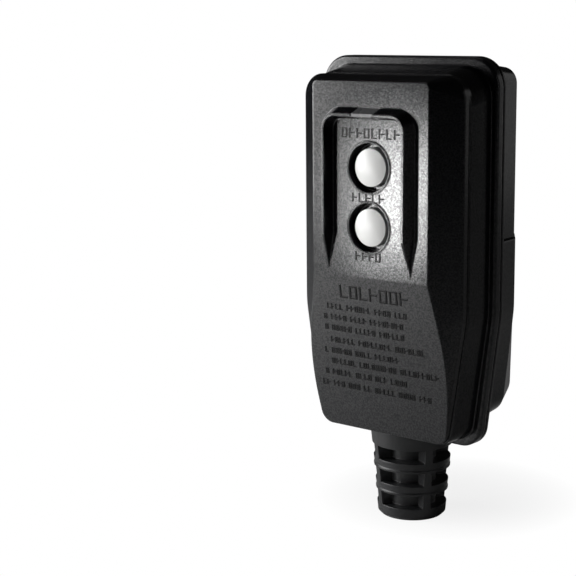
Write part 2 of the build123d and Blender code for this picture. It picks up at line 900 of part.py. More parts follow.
def ground_strap():
    """The strip from the earth pin through the partition to the earth terminal."""
    near = strap_depth() + strip_thickness / 2
    far = strap_depth() - strip_thickness / 2
    low = -terminal_drop - terminal_height / 2
    pad = rod(0, -pin_drop, pin_flange_radius, near, far)
    strip = block(-strip_width / 2, strip_width / 2, near, far, low, -pin_drop)
    strip += block(-terminal_width / 2, terminal_width / 2, near, far,
                   low, -terminal_drop + terminal_height / 2)
    strap = pad + strip
    return strap - rod(0, -terminal_drop, clamp_screw_radius + loose_gap, near, far)


def line_strip(side):
    """The strip from a blade's tail to its fixed contact on the board."""
    inner = blade_spacing / 2 + blade_thickness / 2 + seat_gap
    outer = inner + strip_thickness
    high = reset_height + contact_drop + strip_width / 2
    low = high - strip_width
    lug = block(inner, outer, blade_tail, line_strip_depth, -blade_width / 2, high)
    leg = block(inner, outer, board_back_depth - seat_gap, line_strip_depth, low, high)
    foot = block(inner, bridge_across, board_back_depth - seat_gap,
                 board_back_depth - seat_gap - contact_plate,
                 low, high)
    strip = lug + leg + foot
    return strip if side > 0 else mirror(strip, about=Plane.YZ)


def fixed_contacts(side):
    """The pair of fixed contacts under one bridge: line side above, load side below."""
    pads = []
    for sign in both_sides:
        height = reset_height + sign * contact_drop
        base = board_back_depth - seat_gap - contact_plate - seat_gap
        pads.append(rod(side * bridge_across, height, contact_radius, base,
                        fixed_contact_depth - 2 * seat_gap))
    return Compound(children=pads)


def load_lead(side):
    """The strip from a load contact through the sensing rings to its terminal."""
    back = board_back_depth - seat_gap
    low_contact = reset_height - contact_drop
    foot_top = low_contact + strip_width / 2
    half = lead_width / 2
    t = strip_thickness
    near = lead_front_depth
    back_drop = lead_return_drop()
    run = block(bridge_across - half, bridge_across + half, back, back - contact_plate,
                -ring_drop + t / 2, foot_top)
    run += block(lead_across - half, bridge_across + half, back, back - contact_plate,
                 -ring_drop - t / 2, -ring_drop + t / 2)
    run += block(lead_across - half, lead_across + half, near, back - contact_plate,
                 -ring_drop - t / 2, -ring_drop + t / 2)
    run += block(lead_across - half, lead_across + half, near, near - t,
                 -back_drop - t / 2, -ring_drop + t / 2)
    end = rear_wall_depth - seat_gap - t
    run += block(lead_across - half, lead_across + half, near, end, -back_drop - t / 2, -back_drop + t / 2)
    run += block(lead_across - half, terminal_across + half, end + t, end,
                 -back_drop - t / 2, -back_drop + half)
    run += block(terminal_across - half, terminal_across + half, end + t, end, -back_drop - t / 2,
                 -terminal_drop + terminal_height / 2)
    return run if side > 0 else mirror(run, about=Plane.YZ)


def contact_carrier():
    """The moulded block that lifts both contact bridges together."""
    front, back = carrier_front_depth, carrier_back_depth
    body = block(-carrier_centre_half, carrier_centre_half, front, back,
                 reset_height - carrier_height, reset_height + carrier_height)
    body += block(-carrier_half, carrier_half, front, back,
                  reset_height - arm_height, reset_height + arm_height)
    body = body - carrier_guide_clearance()
    body -= rod(0, reset_height, carrier_bore, front + overrun, back - overrun)
    return body - rod(0, reset_height, spring_pocket, front + overrun, spring_pocket_depth)


def carrier_guide_clearance():
    """Room in the carrier for the guide's posts."""
    inner = guide_inner - loose_gap
    outer = guide_outer + loose_gap
    low = carrier_height - guide_post / 2 - running_gap
    cuts = block(inner, outer, board_depth, 0, reset_height + low, reset_height + carrier_height + overrun)
    cuts += block(inner, outer, board_depth, 0, reset_height - carrier_height - overrun, reset_height - low)
    return mirrored(cuts)


def carrier_guide():
    """Four posts on the board and a roof, between which the carrier slides."""
    low = carrier_height - guide_post / 2
    high = low + guide_post
    post = block(guide_inner, guide_outer, board_back_depth - seat_gap, guide_roof_depth,
                 reset_height + low, reset_height + high)
    post += block(guide_inner, guide_outer, board_back_depth - seat_gap, guide_roof_depth,
                  reset_height - high, reset_height - low)
    roof = block(-guide_outer, guide_outer, guide_roof_depth, guide_roof_depth - guide_roof,
                 reset_height - high, reset_height + high)
    return mirrored(post) + roof - rod(0, reset_height, carrier_bore, guide_roof_depth + overrun, 0)


def contact_bridge(side):
    """A springy bar with a contact rivet at each end, on the carrier's back."""
    front = carrier_back_depth - seat_gap
    bar = block(side * bridge_across - bridge_half, side * bridge_across + bridge_half, front,
                front - bridge_thickness, reset_height - bridge_length, reset_height + bridge_length)
    for sign in both_sides:
        bar += rod(side * bridge_across, reset_height + sign * contact_drop, contact_radius,
                   front + contact_height, front)
    return bar


def latch_plate():
    """The sliding latch that catches the reset stem's head."""
    front = carrier_back_depth - seat_gap
    plate = block(-latch_half, latch_half, front, front - latch_thickness,
                  reset_height - carrier_height, latch_top)
    slot = SlotCenterToCenter(latch_travel, 2 * latch_slot, rotation=90)
    slot = Pos(0, reset_height + latch_travel / 2) * slot
    return plate - extrude(at_depth(0) * slot, board_depth)


def solenoid_bobbin():
    """The coil's former, a tube with two flanges."""
    tube = upright(0, coil_depth, coil_inner - seat_gap, coil_bottom, coil_top)
    for low in (coil_bottom, coil_top - bobbin_flange):
        tube += upright(0, coil_depth, coil_outer, low, low + bobbin_flange)
    bore = upright(0, coil_depth, bobbin_bore, coil_bottom + bobbin_flange, coil_top + overrun)
    pin_hole = upright(0, coil_depth, push_pin_radius + running_gap, coil_bottom - overrun, coil_top)
    return tube - bore - pin_hole


def solenoid_coil():
    """The winding, as one sleeve of its outer size."""
    low = coil_bottom + bobbin_flange + seat_gap
    high = coil_top - bobbin_flange - seat_gap
    hollow = upright(0, coil_depth, coil_inner, low, high)
    return upright(0, coil_depth, coil_outer - loose_gap, low, high) - hollow


def solenoid_frame():
    """The steel bracket round the coil, standing on the board."""
    front = board_back_depth - seat_gap
    back = coil_depth - coil_outer
    low = coil_bottom - seat_gap - frame_steel
    high = coil_top + seat_gap + frame_steel
    frame = block(-frame_half, frame_half, front, front - frame_steel / 2, low, high)
    frame += block(-frame_half, frame_half, front, back, low, low + frame_steel)
    frame += block(-frame_half, frame_half, front, back, high - frame_steel, high)
    return frame - upright(0, coil_depth, push_pin_radius + running_gap, low - overrun, low + overrun)


def solenoid_plunger():
    """The plunger with the thin pin that pushes the latch."""
    head = upright(0, coil_depth, plunger_radius, push_pin_top, plunger_top)
    return head + upright(0, coil_depth, push_pin_radius, latch_top + seat_gap, push_pin_top)


def sensing_ring(index):
    """One of the two ring cores that the load leads pass through."""
    back = board_depth + ring_gap + index * (ring_thickness + ring_gap)
    ring = rod(0, -ring_drop, ring_outer, back + ring_thickness, back)
    return ring - rod(0, -ring_drop, ring_inner, back + ring_thickness, back)


def ring_winding(index):
    """The turns wound over one stretch of a ring core."""
    gap = seat_gap
    back = board_depth + ring_gap + index * (ring_thickness + ring_gap)
    skin = ring_gap / 2 - gap / 2
    outer = rod(0, -ring_drop, ring_outer + winding_cover, back + ring_thickness + skin, back - skin)
    outer -= rod(0, -ring_drop, ring_inner - winding_cover, back + ring_thickness + skin, back - skin)
    core = rod(0, -ring_drop, ring_outer + gap, back + ring_thickness + gap / 2, back - gap / 2)
    core -= rod(0, -ring_drop, ring_inner - gap, back + ring_thickness + gap / 2, back - gap / 2)
    reach = ring_outer + overrun
    half = math.radians(winding_span / 2)
    wedge = at_depth(0) * Pos(0, -ring_drop) * make_face(Polyline(
        (0, 0), (reach * math.cos(half), reach * math.sin(half)),
        (reach * math.cos(half), -reach * math.sin(half)), close=True,
    ))
    sector = extrude(wedge, face_depth)
    turn = 0 if index == 0 else 180
    sector = Pos(0, 0, -ring_drop) * Rot(0, turn, 0) * Pos(0, 0, ring_drop) * sector
    return (outer - core) & sector


def indicator_lamp():
    """The small lamp behind the lens's tail."""
    low, high = lens_tail_span()
    height = (low + high) / 2
    back = board_depth + seat_gap
    lamp = rod(0, height, lamp_radius, back + lamp_length - lamp_radius, back)
    lamp += Pos(0, -(back + lamp_length - lamp_radius), height) * Sphere(lamp_radius)
    return lamp + rod(0, height, lamp_flange_radius, back + lamp_flange, back)


def varistor():
    """The round surge absorber standing on the board."""
    centre_depth = board_depth + seat_gap + varistor_radius
    return (Pos(-varistor_across, -centre_depth, varistor_height) * Rot(0, 90, 0)
            * Cylinder(varistor_radius, varistor_thickness)) + block(
        -varistor_across - strip_thickness / 2, -varistor_across + strip_thickness / 2, centre_depth,
        board_depth + seat_gap, varistor_height - strip_width / 2, varistor_height + strip_width / 2)


def film_capacitor():
    """The box-shaped capacitor across the line."""
    base = board_depth + seat_gap
    body = block(film_across - film_width / 2, film_across + film_width / 2, base + film_rise, base,
                 film_height - film_length / 2, film_height + film_length / 2)
    return chamfer(body.faces().sort_by(Axis.Y)[0].edges(), edge_softness / 2)


def supply_capacitor():
    """The round can that smooths the electronics' supply."""
    base = board_depth + seat_gap
    can = rod(can_across, -can_drop, can_radius, base + can_rise, base)
    return fillet(can.edges().sort_by(Axis.Y)[0], edge_softness / 2)


def controller_chip():
    """The controller, with its legs as two thin strips."""
    base = board_depth + seat_gap
    body = block(-chip_across - chip_width / 2, -chip_across + chip_width / 2, base + chip_rise,
                 base + contact_plate / 2, -chip_drop - chip_length / 2, -chip_drop + chip_length / 2)
    legs = block(-chip_across - chip_width / 2 - strip_thickness,
                 -chip_across + chip_width / 2 + strip_thickness,
                 base + contact_plate, base, -chip_drop - chip_length / 2 + contact_plate,
                 -chip_drop + chip_length / 2 - contact_plate)
    return body + legs


def thyristor():
    """The switch that fires the solenoid: a round case with one flat side."""
    base = board_depth + seat_gap
    body = rod(-thyristor_across, -thyristor_drop, thyristor_width / 2, base + thyristor_rise, base)
    flat = block(-thyristor_across - thyristor_width, -thyristor_across + thyristor_width,
                 base + thyristor_rise + overrun, 0, -thyristor_drop - thyristor_width,
                 -thyristor_drop - thyristor_width / 2 + thyristor_width - thyristor_thickness)
    return body - flat


def resistors():
    """A row of small resistors lying on the board."""
    base = board_depth + seat_gap
    row = []
    for index in range(resistor_count):
        across = resistor_across + index * resistor_pitch
        body = upright(across, base + resistor_radius, resistor_radius, -resistor_drop - resistor_length,
                       -resistor_drop)
        row.append(body)
    return Compound(children=row)


def test_leaf():
    """The bent spring contact under the test button's stem."""
    base = board_depth + seat_gap
    half = leaf_width / 2
    low = test_height - stem_radius
    foot_high = low + leaf_thickness
    foot = block(-half, half, base + leaf_thickness, base, low - leaf_length / 2, foot_high)
    wall = block(-half, half, base + leaf_rise, base, low, foot_high)
    tongue = block(-half, half, base + leaf_rise, base + leaf_rise - leaf_thickness,
                   low, low + leaf_length / 2)
    return foot + wall + tongue


def load_terminal(across, floor_depth):
    """A brass block with a clamping hole for one conductor."""
    half = terminal_width / 2
    low = -terminal_drop - terminal_height / 2
    high = -terminal_drop + terminal_height / 2
    top = floor_depth - terminal_depth
    body = block(across - half, across + half, floor_depth, top, low, high)
    body = chamfer(body.edges().filter_by(Axis.Y), edge_softness / 2)
    hole_depth = floor_depth - wire_hole_rise
    body -= upright(across, hole_depth, wire_hole, low - overrun, high + overrun)
    return body - rod(across, -terminal_drop, clamp_screw_radius + running_gap, hole_depth, top - overrun)


def terminal_screws(places):
    """The clamping screws of the three terminals."""
    screws = []
    for across, head_depth in places:
        screws.append(screw(across, -terminal_drop, terminal_screw_head, terminal_screw_head_height,
                            clamp_screw_radius, terminal_screw_shank - wire_hole, head_depth))
    return Compound(children=screws)


def cord_clamp():
    """The saddle that holds the cord's jacket."""
    near = clamp_depth + clamp_thickness
    low, high = -clamp_drop - clamp_half_height, -clamp_drop + clamp_half_height
    saddle = block(-clamp_half, clamp_half, near, clamp_depth, low, high)
    saddle -= upright(0, boot_depth, cord_radius + loose_gap, low - overrun, high + overrun)
    hole = rod(clamp_screw_across, -clamp_drop, clamp_screw_radius + loose_gap, near + overrun, 0)
    return saddle - mirrored(hole)


def clamp_screws():
    """The two screws of the cord clamp."""
    screws = []
    for side in both_sides:
        screws.append(screw(side * clamp_screw_across, -clamp_drop, clamp_screw_head, clamp_screw_head_height,
                            clamp_screw_radius, clamp_screw_length, clamp_depth - seat_gap))
    return Compound(children=screws)


def boot_profile(skin):
    """The boot's tapering outer profile below the nose, stepped in at each ring."""
    top = -nose_foot - seat_gap
    fall = (collar_radius - boot_foot_radius) / (boot_foot - nose_foot)
    points = [(0, top), (collar_radius - skin, top)]
    for index in range(window_count - 1):
        low = window_top + window_height + index * window_pitch + window_height / 2
        radius = collar_radius - fall * (low - nose_foot) - skin
        points.append((radius - boot_notch, -low))
        points.append((radius - boot_notch * notch_share, -low - boot_notch))
    foot_bevel = boot_skin / 2
    points += [(boot_foot_radius - skin, -boot_foot + foot_bevel),
               (boot_foot_radius - foot_bevel - skin, -boot_foot), (0, -boot_foot)]
    return make_face(Plane.XZ * Polyline(*points, close=True))


def strain_relief_boot():
    """The rubber boot: neck and flange in the nose, a windowed taper outside it."""
    body = revolve(boot_profile(0), Axis.Z)
    windows = None
    for index in range(window_count):
        high = -window_top - index * window_pitch
        ring = Pos(0, 0, high - window_height / 2) * Cylinder(collar_radius + overrun, window_height)
        ring -= Pos(0, 0, high - window_height / 2) * Cylinder(boot_core_radius, window_height)
        windows = ring if windows is None else windows + ring
    reach = collar_radius + overrun
    for index in range(rib_count):
        angle = rib_turn - 90 + index * 360 / rib_count
        rib = Pos(reach / 2, 0, -boot_foot / 2 - nose_foot / 2) * Box(reach, rib_width, boot_foot)
        windows -= Rot(0, 0, angle) * rib
    body -= windows
    neck = Cylinder(boot_neck_radius, nose_foot - neck_top + 2 * seat_gap)
    body += Pos(0, 0, -(nose_foot + neck_top) / 2) * neck
    body += Pos(0, 0, -neck_top + boot_flange / 2 + seat_gap) * Cylinder(boot_flange_radius, boot_flange)
    body -= Cylinder(cord_radius + loose_gap, 2 * (boot_foot + overrun))
    return Pos(0, -boot_depth, 0) * body


def end_label():
    """A blank printed label on the sloping top end of the blade section."""
    rise = (back_top_inset - chamfer_top_inset) / chamfer_depth
    points = []
    for depth in (label_rear_depth, min(label_front_depth, chamfer_depth - seat_gap)):
        height = rim_top - back_top_inset + rise * depth
        points.append((-depth, height + seat_gap))
    back, front = points
    profile = Plane.YZ * make_face(Polyline(
        back, front, (front[0], front[1] + label_thickness), (back[0], back[1] + label_thickness), close=True,
    ))
    return extrude(profile, label_half, both=True)


def stem_tip_depth():
    """Where the test stem ends: its travel away from the leaf."""
    return board_depth + seat_gap + leaf_rise + seat_gap


def build_all():
    """Every node by name."""
    terminal_floor = rear_wall_depth - 2 * seat_gap - strip_thickness
    earth_floor = strap_depth() + strip_thickness / 2 + seat_gap + terminal_depth
    line_head = terminal_floor - terminal_depth - seat_gap
    earth_head = strap_depth() - strip_thickness / 2 - seat_gap
    return {
        "front_cover": front_cover(),
        "perimeter_gasket": perimeter_gasket(),
        "rear_housing": rear_housing(),
        "wiring_cover": wiring_cover(),
        "indicator_lens": indicator_lens(),
        "reset_button": button(reset_height, latch_head_depth, True),
        "test_button": button(test_height, stem_tip_depth(), False),
        "reset_spring": reset_spring(),
        "trip_spring": trip_spring(),
        "plunger_spring": plunger_spring(),
        "test_leaf": test_leaf(),
        "circuit_board": circuit_board(),
        "board_screws": board_screws(),
        "housing_screws": casing_screws(["top"]),
        "cover_screws": casing_screws(["seam", "foot"]),
        "line_blade": flat_blade(1),
        "neutral_blade": flat_blade(-1),
        "ground_pin": ground_pin(),
        "ground_strap": ground_strap(),
        "line_strip": line_strip(1),
        "neutral_strip": line_strip(-1),
        "line_contacts": fixed_contacts(1),
        "neutral_contacts": fixed_contacts(-1),
        "load_line_lead": load_lead(1),
        "load_neutral_lead": load_lead(-1),
        "contact_carrier": contact_carrier(),
        "carrier_guide": carrier_guide(),
        "line_bridge": contact_bridge(1),
        "neutral_bridge": contact_bridge(-1),
        "latch_plate": latch_plate(),
        "solenoid_bobbin": solenoid_bobbin(),
        "solenoid_coil": solenoid_coil(),
        "solenoid_frame": solenoid_frame(),
        "solenoid_plunger": solenoid_plunger(),
        "sensing_core": sensing_ring(0),
        "neutral_core": sensing_ring(1),
        "sensing_winding": ring_winding(0),
        "neutral_winding": ring_winding(1),
        "indicator_lamp": indicator_lamp(),
        "varistor": varistor(),
        "film_capacitor": film_capacitor(),
        "supply_capacitor": supply_capacitor(),
        "controller_chip": controller_chip(),
        "thyristor": thyristor(),
        "resistors": resistors(),
        "line_terminal": load_terminal(terminal_across, terminal_floor),
        "neutral_terminal": load_terminal(-terminal_across, terminal_floor),
        "earth_terminal": load_terminal(0, earth_floor),
        "terminal_screws": terminal_screws([
            (terminal_across, line_head), (-terminal_across, line_head), (0, earth_head)]),
        "cord_clamp": cord_clamp(),
        "clamp_screws": clamp_screws(),
        "strain_relief_boot": strain_relief_boot(),
        "end_label": end_label(),
    }


os.makedirs("parts", exist_ok=True)
for node, solid in build_all().items():
    export_step(solid, "parts/" + node + ".step")
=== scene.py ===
# %% [markdown]
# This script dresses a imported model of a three-blade plug with a built-in residual
# current device. The CAD solids come in as a fixed frame. They could all be modelled
# again here, but their shapes are already right, so they keep their mesh and only get
# a finish. Only the springs and one leaf are copied. The small marks and the bars on
# the label are new.

import json
import math
import random

import bmesh
import bpy
from mathutils import Matrix, Vector


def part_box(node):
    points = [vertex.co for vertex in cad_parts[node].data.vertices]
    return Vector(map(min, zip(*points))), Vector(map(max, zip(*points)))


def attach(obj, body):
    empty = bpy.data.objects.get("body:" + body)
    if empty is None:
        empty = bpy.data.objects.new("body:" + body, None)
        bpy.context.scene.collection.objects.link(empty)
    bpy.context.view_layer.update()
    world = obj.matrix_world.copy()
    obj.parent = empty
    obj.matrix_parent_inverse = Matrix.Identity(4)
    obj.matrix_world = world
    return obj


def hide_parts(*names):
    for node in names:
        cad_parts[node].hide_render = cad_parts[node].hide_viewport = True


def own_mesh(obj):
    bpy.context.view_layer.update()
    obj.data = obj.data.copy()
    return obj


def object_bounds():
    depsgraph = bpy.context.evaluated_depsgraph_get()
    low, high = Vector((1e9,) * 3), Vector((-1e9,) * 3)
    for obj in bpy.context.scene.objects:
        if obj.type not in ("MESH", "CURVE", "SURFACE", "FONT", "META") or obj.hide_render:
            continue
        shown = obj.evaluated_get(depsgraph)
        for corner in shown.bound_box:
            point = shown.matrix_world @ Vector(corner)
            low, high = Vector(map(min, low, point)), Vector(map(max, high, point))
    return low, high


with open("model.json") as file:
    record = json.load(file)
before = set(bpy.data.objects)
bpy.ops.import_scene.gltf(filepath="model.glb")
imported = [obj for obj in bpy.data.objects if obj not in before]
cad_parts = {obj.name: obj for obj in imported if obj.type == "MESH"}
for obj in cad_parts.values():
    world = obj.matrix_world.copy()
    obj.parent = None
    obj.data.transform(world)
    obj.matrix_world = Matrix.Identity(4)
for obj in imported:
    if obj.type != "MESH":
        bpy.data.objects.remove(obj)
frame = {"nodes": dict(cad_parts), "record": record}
cad_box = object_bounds()
mm = 0.001
print("CAD box in metres:", [[round(v, 4) for v in corner] for corner in cad_box])

# %% [markdown]
# Every finish is made of nodes. A small set of helpers keeps the node code short:
# one adds a node with its values, one links two sockets, and one starts a material
# whose surface is a single Principled shader. Constant values go on the shader's own
# sockets, because the export reads them there.

# %% Node helpers
def add_node(tree, kind, **values):
    """Adds a node and sets its properties and, where the name fits, its inputs."""
    node = tree.nodes.new(kind)
    for name, value in values.items():
        label = name.replace("_", " ")
        if label in node.inputs:
            node.inputs[label].default_value = value
        else:
            setattr(node, name, value)
    return node


def link(tree, source, target):
    """Joins an output to an input."""
    tree.links.new(source, target)


def start_material(name, color, roughness, metallic=0.0, **more):
    """A material with one Principled shader, returned with its tree and shader."""
    material = bpy.data.materials.new(name)
    material.use_nodes = True
    tree = material.node_tree
    shader = tree.nodes["Principled BSDF"]
    shader.inputs["Base Color"].default_value = (*color, 1.0)
    shader.inputs["Roughness"].default_value = roughness
    shader.inputs["Metallic"].default_value = metallic
    for name, value in more.items():
        shader.inputs[name.replace("_", " ")].default_value = value
    return material, tree, shader


def new_group(name, inputs, outputs):
    """A node group with named float inputs and outputs, and its two end nodes."""
    tree = bpy.data.node_groups.new(name, "ShaderNodeTree")
    for label, value in inputs.items():
        socket = tree.interface.new_socket(label, in_out="INPUT", socket_type="NodeSocketFloat")
        socket.default_value = value
    for label, kind in outputs.items():
        tree.interface.new_socket(label, in_out="OUTPUT", socket_type=kind)
    return tree, tree.nodes.new("NodeGroupInput"), tree.nodes.new("NodeGroupOutput")


def use_group(tree, group, **values):
    """Places a node group in a material with its own values."""
    node = tree.nodes.new("ShaderNodeGroup")
    node.node_tree = group
    for label, value in values.items():
        node.inputs[label.replace("_", " ")].default_value = value
    return node


print("helpers: add_node, link, start_material, new_group, use_group")

# %% [markdown]
# The casing is moulded in a spark-eroded tool, which leaves a fine, even grain of
# small bumps. The grain could be real displacement, but it is a tenth of a millimetre
# across, so a bump from a fine Voronoi and a noise is enough. The same group also
# gives a slow cloud of values, which keeps the sheen from being even, and fine specks,
# from which the casing gets its glints.

# %% Grain group
grain, grain_in, grain_out = new_group(
    "moulded_grain",
    {"Grains per metre": 2600.0, "Cloud per metre": 60.0},
    {"Height": "NodeSocketFloat", "Cloud": "NodeSocketFloat", "Speck": "NodeSocketFloat"},
)
place = add_node(grain, "ShaderNodeTexCoord")
cells = add_node(grain, "ShaderNodeTexVoronoi", feature="SMOOTH_F1")
fine = add_node(grain, "ShaderNodeTexNoise", Detail=2.0, Roughness=0.6)
slow = add_node(grain, "ShaderNodeTexNoise", Detail=3.0, Roughness=0.5)
speck = add_node(grain, "ShaderNodeMapRange", From_Min=0.38, From_Max=0.62)
both = add_node(grain, "ShaderNodeMath", operation="MULTIPLY_ADD")
cell_share = 0.7
for texture in (cells, fine, slow):
    link(grain, place.outputs["Object"], texture.inputs["Vector"])
link(grain, grain_in.outputs["Grains per metre"], cells.inputs["Scale"])
link(grain, grain_in.outputs["Grains per metre"], fine.inputs["Scale"])
link(grain, grain_in.outputs["Cloud per metre"], slow.inputs["Scale"])
link(grain, cells.outputs["Distance"], both.inputs[0])
both.inputs[1].default_value = cell_share
link(grain, fine.outputs["Fac"], both.inputs[2])
link(grain, fine.outputs["Fac"], speck.inputs["Value"])
link(grain, both.outputs["Value"], grain_out.inputs["Height"])
link(grain, slow.outputs["Fac"], grain_out.inputs["Cloud"])
link(grain, speck.outputs["Result"], grain_out.inputs["Speck"])
print("group", grain.name, "with", len(grain.nodes), "nodes")

# %% [markdown]
# Brushed and drawn metal has marks that run one way. A noise that is stretched along
# one axis gives them. The stretch is an input, so that the same group serves blades
# along Y and turned pieces.

# %% Brushing group
brush, brush_in, brush_out = new_group(
    "brushed_marks",
    {"Marks per metre": 3000.0, "Stretch": 0.03, "Stain per metre": 150.0},
    {"Height": "NodeSocketFloat", "Stain": "NodeSocketFloat"},
)
place = add_node(brush, "ShaderNodeTexCoord")
pull = add_node(brush, "ShaderNodeCombineXYZ", X=1.0, Z=1.0)
stretch = add_node(brush, "ShaderNodeVectorMath", operation="MULTIPLY")
marks = add_node(brush, "ShaderNodeTexNoise", Detail=3.0, Roughness=0.6)
stain = add_node(brush, "ShaderNodeTexNoise", Detail=4.0, Roughness=0.6)
link(brush, brush_in.outputs["Stretch"], pull.inputs["Y"])
link(brush, place.outputs["Object"], stretch.inputs[0])
link(brush, pull.outputs["Vector"], stretch.inputs[1])
link(brush, stretch.outputs["Vector"], marks.inputs["Vector"])
link(brush, place.outputs["Object"], stain.inputs["Vector"])
link(brush, brush_in.outputs["Marks per metre"], marks.inputs["Scale"])
link(brush, brush_in.outputs["Stain per metre"], stain.inputs["Scale"])
link(brush, marks.outputs["Fac"], brush_out.inputs["Height"])
link(brush, stain.outputs["Fac"], brush_out.inputs["Stain"])
print("group", brush.name, "with", len(brush.nodes), "nodes")

# %% [markdown]
# A finish made from these groups always works the same way: the cloud or stain moves
# the roughness a little and mixes two close colours, and the height feeds a Bump node.
# Two functions build all of them, one for plastics and rubber, one for metals. An edge
# that is crisp in the CAD can be rounded in the shading alone, by a Bevel node.

# %% Plastic and metal makers
def spread(tree, value, low, high):
    """Maps a texture's middle range to a range of roughness or another value."""
    node = add_node(tree, "ShaderNodeMapRange", From_Min=0.3, From_Max=0.7, To_Min=low, To_Max=high)
    link(tree, value, node.inputs["Value"])
    return node.outputs["Result"]


def mix_colors(tree, factor, first, second):
    """Mixes two colours by a factor."""
    # A Mix node has sockets for every kind of data, and these are the ones for colours.
    factor_in, first_in, second_in, color_out = 0, 6, 7, 2
    node = add_node(tree, "ShaderNodeMix", data_type="RGBA")
    node.inputs[first_in].default_value = (*first, 1.0)
    node.inputs[second_in].default_value = (*second, 1.0)
    link(tree, factor, node.inputs[factor_in])
    return node.outputs[color_out]


def soft_edges(tree, bump, radius):
    """Rounds the shading of sharp edges, as moulded and stamped edges are, by a radius in mm."""
    node = tree.nodes.new("ShaderNodeBevel")
    node.samples = 6
    node.inputs["Radius"].default_value = radius * mm
    link(tree, node.outputs["Normal"], bump.inputs["Normal"])


def moulded(name, color, lighter, rough, grains=2600.0, depth=0.05, cloud=60.0, edge=0.0, sparkle=None,
            **more):
    """A moulded plastic or rubber with grain, a cloudy sheen and close colour changes."""
    material, tree, shader = start_material(name, color, rough[0], **more)
    texture = use_group(tree, grain, Grains_per_metre=grains, Cloud_per_metre=cloud)
    link(tree, mix_colors(tree, texture.outputs["Cloud"], color, lighter), shader.inputs["Base Color"])
    link(tree, spread(tree, texture.outputs["Cloud"], *rough), shader.inputs["Roughness"])
    if sparkle:
        glint = add_node(tree, "ShaderNodeMapRange", To_Min=sparkle[0], To_Max=sparkle[1])
        link(tree, texture.outputs["Speck"], glint.inputs["Value"])
        link(tree, glint.outputs["Result"], shader.inputs["Specular IOR Level"])
    bump = add_node(tree, "ShaderNodeBump", Strength=1.0, Distance=depth * mm)
    if edge:
        soft_edges(tree, bump, edge)
    link(tree, texture.outputs["Height"], bump.inputs["Height"])
    link(tree, bump.outputs["Normal"], shader.inputs["Normal"])
    return material


def metal(name, color, stained, rough, marks=3000.0, stretch=0.03, depth=0.01, edge=0.0, **more):
    """A bare or plated metal with drawn marks and faint stains."""
    material, tree, shader = start_material(name, color, rough[0], metallic=1.0, **more)
    texture = use_group(tree, brush, Marks_per_metre=marks, Stretch=stretch)
    link(tree, mix_colors(tree, texture.outputs["Stain"], color, stained), shader.inputs["Base Color"])
    link(tree, spread(tree, texture.outputs["Stain"], *rough), shader.inputs["Roughness"])
    bump = add_node(tree, "ShaderNodeBump", Strength=0.6, Distance=depth * mm)
    if edge:
        soft_edges(tree, bump, edge)
    link(tree, texture.outputs["Height"], bump.inputs["Height"])
    link(tree, bump.outputs["Normal"], shader.inputs["Normal"])
    return material


print("makers: moulded, metal")

# %% [markdown]
# Now the finishes themselves, one for each material slot of the model. The casing is
# a black plastic with a satin sheen and glints, the domes are white and slightly glossy,
# the lens looks smoky grey, and the blades are nickel plated brass. Each finish could be
# built on its own, but one table of colours and roughness is easier to compare.

